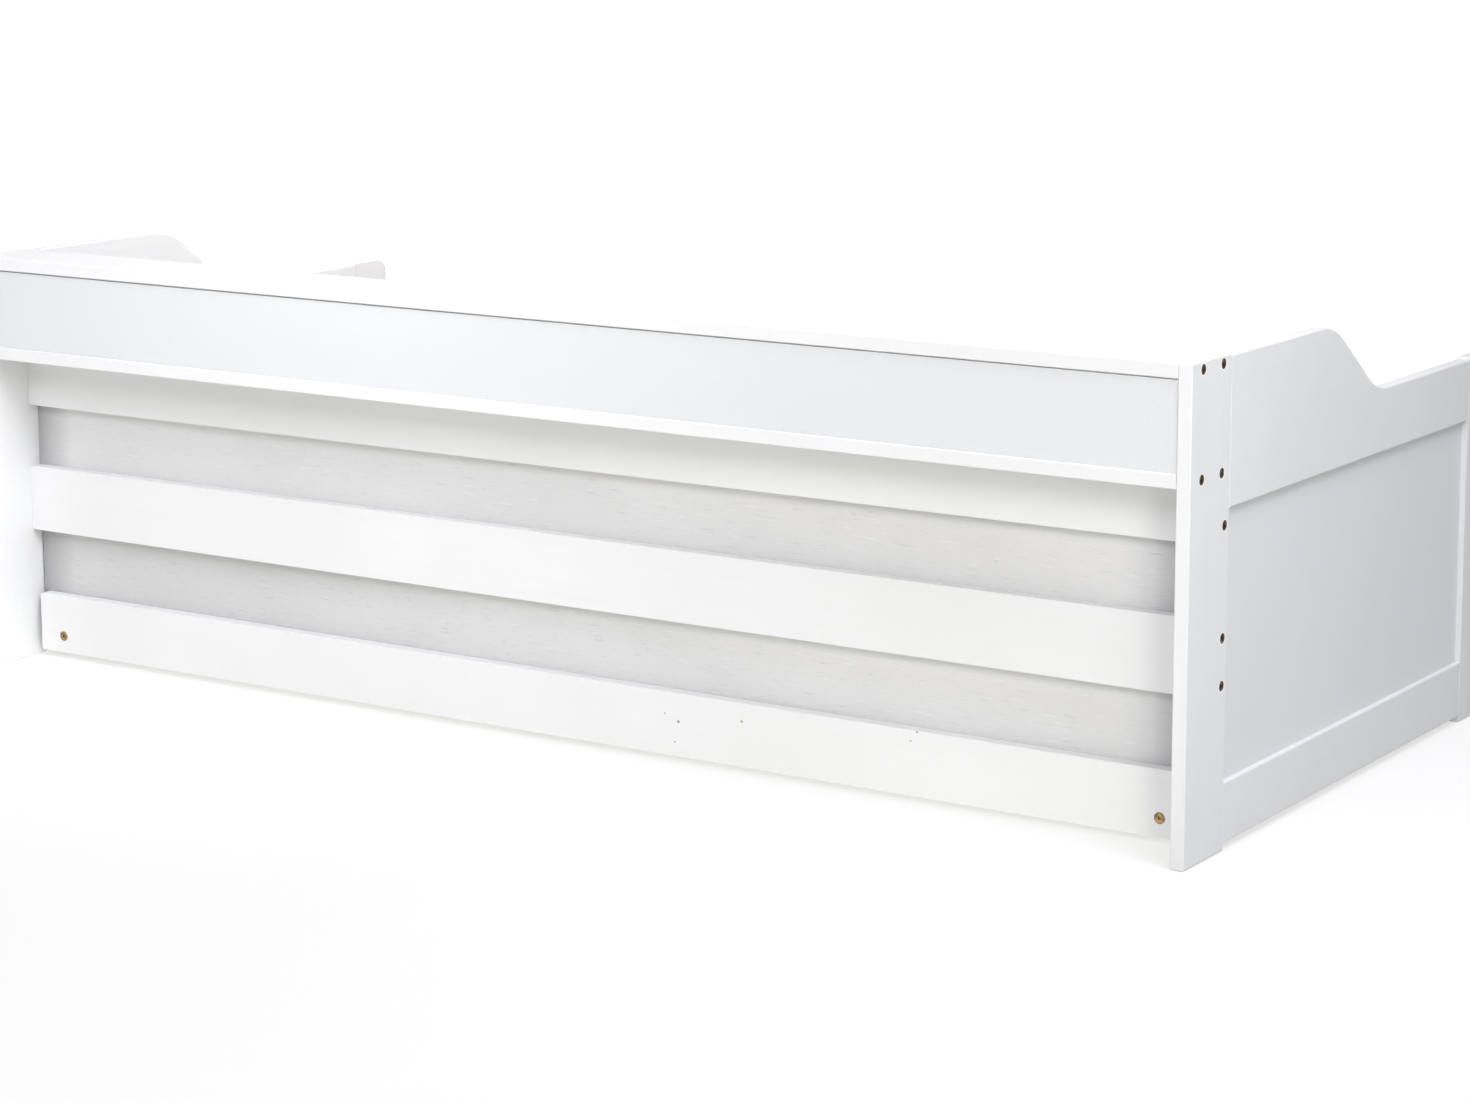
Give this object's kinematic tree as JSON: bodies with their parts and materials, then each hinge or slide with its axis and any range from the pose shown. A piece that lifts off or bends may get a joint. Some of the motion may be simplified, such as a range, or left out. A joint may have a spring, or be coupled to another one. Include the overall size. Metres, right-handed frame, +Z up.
{
  "type": "children's daybed with shelf box and pull-out drawer",
  "caption": "White wooden children's daybed: S-curved panelled ends, a shelf box along the back, slatted base and a full-length toy drawer on castors.",
  "frame": {"origin": "centre of the footprint, on the floor", "axes": "+X along the length, -Y the open front where the drawer comes out, +Y the back with the shelf box, +Z up"},
  "size_m": [2.08, 0.984, 0.645],
  "materials": {
    "white_lacquer": "satin white lacquer with softened edges and faint pine grain under it",
    "white_panel": "smooth cool white painted fibreboard",
    "grey_panel": "thin fibreboard with a pale grey face and fine horizontal grain",
    "bare_pine": "planed bare pine with growth rings and small knots",
    "beech_dowel": "fluted beech dowel",
    "bronze_bolt": "dark bronze plated, slightly worn hex socket",
    "brass_bolt": "yellow zinc plated",
    "zinc_steel": "bright zinc plated",
    "webbing": "woven off-white polyester webbing",
    "castor_bracket": "moulded dark grey plastic",
    "castor_tyre": "moulded near-black plastic"
  },
  "bodies": {
    "bed": {"left_back_stile": "white_lacquer", "left_front_stile": "white_lacquer", "left_top_rail": "white_lacquer", "left_bottom_rail": "white_lacquer", "right_back_stile": "white_lacquer", "right_front_stile": "white_lacquer", "right_top_rail": "white_lacquer", "right_bottom_rail": "white_lacquer", "shelf_top_board": "white_lacquer", "shelf_bottom_board": "white_lacquer", "shelf_divider_left": "white_lacquer", "shelf_divider_right": "white_lacquer", "shelf_cleats": "white_lacquer", "upper_back_rail": "white_lacquer", "middle_back_rail": "white_lacquer", "front_rail": "white_lacquer", "left_infill_panel": "white_panel", "right_infill_panel": "white_panel", "shelf_back_panel": "white_panel", "back_panel": "grey_panel", "front_ledge": "bare_pine", "rear_ledge": "bare_pine", "slat_1": "bare_pine", "slat_2": "bare_pine", "slat_3": "bare_pine", "slat_4": "bare_pine", "slat_5": "bare_pine", "slat_6": "bare_pine", "slat_7": "bare_pine", "slat_8": "bare_pine", "slat_9": "bare_pine", "slat_10": "bare_pine", "slat_11": "bare_pine", "slat_12": "bare_pine", "frame_dowels": "beech_dowel", "connector_bolts": "bronze_bolt", "barrel_nuts": "zinc_steel", "panel_pins": "zinc_steel", "ledge_screws": "zinc_steel", "webbing_straps": "webbing"},
    "drawer": {"drawer_front": "white_lacquer", "drawer_back_rail": "white_lacquer", "drawer_left_side": "white_lacquer", "drawer_right_side": "white_lacquer", "drawer_partition": "white_lacquer", "drawer_floor_left": "white_panel", "drawer_floor_right": "white_panel", "drawer_back_panel": "grey_panel", "drawer_dowels": "beech_dowel", "drawer_bolts": "brass_bolt", "drawer_barrel_nuts": "zinc_steel", "castor_axles": "zinc_steel", "castor_screws": "zinc_steel", "castor_brackets": "castor_bracket"},
    "wheel_left_front": {"wheel_left_front": "castor_tyre"},
    "wheel_left_back": {"wheel_left_back": "castor_tyre"},
    "wheel_middle_front": {"wheel_middle_front": "castor_tyre"},
    "wheel_middle_back": {"wheel_middle_back": "castor_tyre"},
    "wheel_right_front": {"wheel_right_front": "castor_tyre"},
    "wheel_right_back": {"wheel_right_back": "castor_tyre"}
  },
  "joints": [
    {"name": "drawer_slide", "type": "slide", "parent": "bed", "child": "drawer", "axis": [0, -1, 0], "range_m": [0, 0.85]},
    {"name": "wheel_left_front_spin", "type": "hinge", "parent": "drawer", "child": "wheel_left_front", "pos_m": [-0.9385, -0.4, 0.02], "axis": [1, 0, 0], "continuous": true},
    {"name": "wheel_left_back_spin", "type": "hinge", "parent": "drawer", "child": "wheel_left_back", "pos_m": [-0.9385, 0.31, 0.02], "axis": [1, 0, 0], "continuous": true},
    {"name": "wheel_middle_front_spin", "type": "hinge", "parent": "drawer", "child": "wheel_middle_front", "pos_m": [0.0225, -0.4, 0.02], "axis": [1, 0, 0], "continuous": true},
    {"name": "wheel_middle_back_spin", "type": "hinge", "parent": "drawer", "child": "wheel_middle_back", "pos_m": [0.0225, 0.31, 0.02], "axis": [1, 0, 0], "continuous": true},
    {"name": "wheel_right_front_spin", "type": "hinge", "parent": "drawer", "child": "wheel_right_front", "pos_m": [0.9385, -0.4, 0.02], "axis": [1, 0, 0], "continuous": true},
    {"name": "wheel_right_back_spin", "type": "hinge", "parent": "drawer", "child": "wheel_right_back", "pos_m": [0.9385, 0.31, 0.02], "axis": [1, 0, 0], "continuous": true}
  ],
  "couplings": [
    {"joint": "wheel_left_front_spin", "follows": "drawer_slide", "rad_per_m": 50},
    {"joint": "wheel_left_back_spin", "follows": "drawer_slide", "rad_per_m": 50},
    {"joint": "wheel_middle_front_spin", "follows": "drawer_slide", "rad_per_m": 50},
    {"joint": "wheel_middle_back_spin", "follows": "drawer_slide", "rad_per_m": 50},
    {"joint": "wheel_right_front_spin", "follows": "drawer_slide", "rad_per_m": 50},
    {"joint": "wheel_right_back_spin", "follows": "drawer_slide", "rad_per_m": 50}
  ]
}
